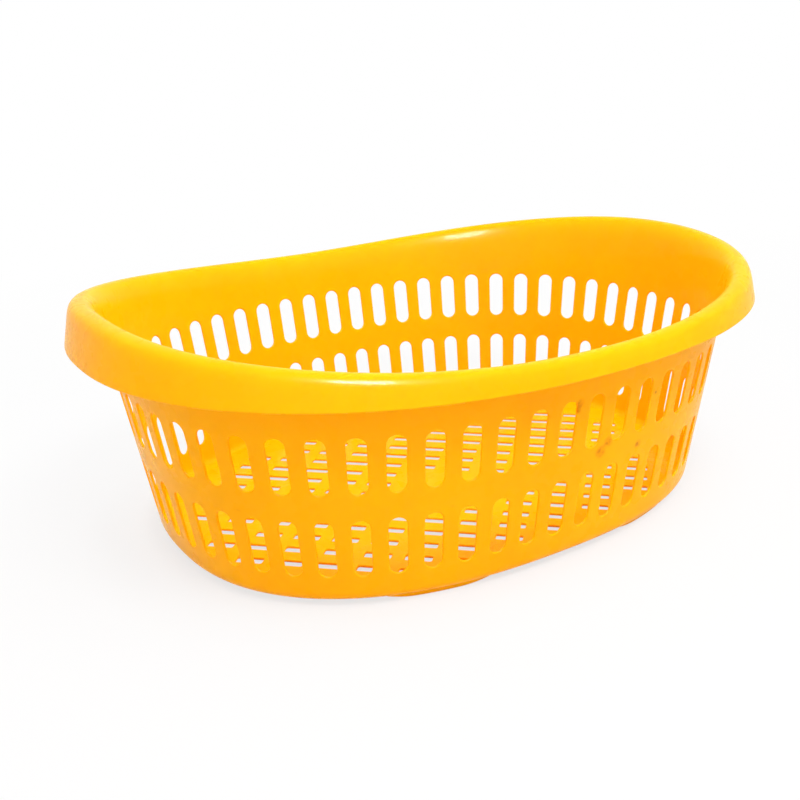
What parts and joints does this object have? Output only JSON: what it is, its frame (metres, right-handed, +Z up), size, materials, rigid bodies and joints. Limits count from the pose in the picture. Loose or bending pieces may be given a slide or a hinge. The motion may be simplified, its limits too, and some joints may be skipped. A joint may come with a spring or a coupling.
{
  "type": "oval plastic basket",
  "caption": "Oval open-top moulded basket with upright slots in the wall, a diagonal grid floor and a rolled rim that rises into a grip at each end.",
  "frame": {"origin": "on the ground under the middle of the basket, level with the undersides of its feet", "axes": "+X along the basket's length, towards one end grip; +Y across it, towards the back; +Z up, out of the open top"},
  "size_m": [0.63, 0.487, 0.2183],
  "materials": {
    "yellow_plastic": "smooth semi-gloss moulded polypropylene, warm yellow, with light scuffs"
  },
  "bodies": {
    "root": {"floor_grid": "yellow_plastic", "floor_edge_right_back": "yellow_plastic", "floor_edge_back_right": "yellow_plastic", "floor_edge_back_left": "yellow_plastic", "floor_edge_left_back": "yellow_plastic", "floor_edge_left_front": "yellow_plastic", "floor_edge_front_left": "yellow_plastic", "floor_edge_front_right": "yellow_plastic", "floor_edge_right_front": "yellow_plastic", "lower_wall": "yellow_plastic", "upper_wall": "yellow_plastic", "rim_front": "yellow_plastic", "rim_back": "yellow_plastic", "grip_left": "yellow_plastic", "grip_right": "yellow_plastic", "foot_front_left": "yellow_plastic", "foot_front_right": "yellow_plastic", "foot_back_left": "yellow_plastic", "foot_back_right": "yellow_plastic"}
  },
  "joints": []
}
